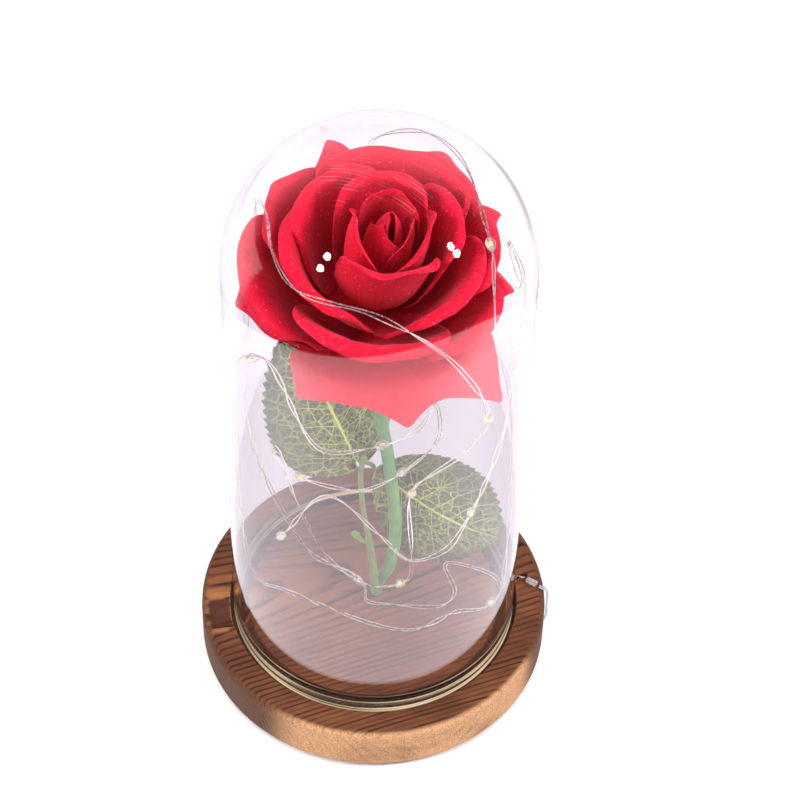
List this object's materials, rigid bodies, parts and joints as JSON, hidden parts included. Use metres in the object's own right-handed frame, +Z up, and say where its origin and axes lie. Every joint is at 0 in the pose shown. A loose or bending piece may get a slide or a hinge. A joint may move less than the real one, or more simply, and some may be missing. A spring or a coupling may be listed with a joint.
{
  "type": "rose in a glass dome",
  "caption": "Preserved red rose with leaves under a round-topped glass dome on a round wooden base, wound with a battery light string.",
  "frame": {"origin": "centre of the wooden base's underside", "axes": "+Z up along the dome's axis; -Y towards the front of the display; +X to the right, where the lead leaves the base"},
  "size_m": [0.117, 0.115, 0.22],
  "materials": {
    "pine": "carbonized pine with dark grain lines, matt oil",
    "dome_glass": "clear, blown",
    "petal_cloth": "crimson silk velvet",
    "leaf_cloth": "dark green coated cloth with paler veins",
    "stem_plastic": "satin green",
    "silver_wire": "silver-coloured lacquered wire",
    "clear_resin": "clear resin drop over a yellow chip",
    "clear_sleeve": "clear sleeve",
    "box_plastic": "plain white",
    "knob_plastic": "black"
  },
  "bodies": {
    "root": {"wooden_base": "pine", "glass_dome": "dome_glass", "flower_heart": "petal_cloth", "calyx": "stem_plastic", "petal_01": "petal_cloth", "petal_02": "petal_cloth", "petal_03": "petal_cloth", "petal_04": "petal_cloth", "petal_05": "petal_cloth", "petal_06": "petal_cloth", "petal_07": "petal_cloth", "petal_08": "petal_cloth", "petal_09": "petal_cloth", "petal_10": "petal_cloth", "petal_11": "petal_cloth", "petal_12": "petal_cloth", "petal_13": "petal_cloth", "petal_14": "petal_cloth", "petal_15": "petal_cloth", "petal_16": "petal_cloth", "petal_17": "petal_cloth", "petal_18": "petal_cloth", "petal_19": "petal_cloth", "petal_20": "petal_cloth", "petal_21": "petal_cloth", "petal_22": "petal_cloth", "petal_23": "petal_cloth", "petal_24": "petal_cloth", "rose_stem": "stem_plastic", "leaf_branch": "stem_plastic", "leaf_left": "leaf_cloth", "leaf_right": "leaf_cloth", "battery_box": "box_plastic", "battery_cover": "box_plastic", "switch_knob": "knob_plastic", "battery_lead": "clear_sleeve", "splice_sleeve": "clear_sleeve", "light_string": "silver_wire", "light_bead_01": "clear_resin", "light_bead_02": "clear_resin", "light_bead_03": "clear_resin", "light_bead_04": "clear_resin", "light_bead_05": "clear_resin", "light_bead_06": "clear_resin", "light_bead_07": "clear_resin", "light_bead_08": "clear_resin", "light_bead_09": "clear_resin", "light_bead_10": "clear_resin", "light_bead_11": "clear_resin", "light_bead_12": "clear_resin"}
  },
  "joints": []
}
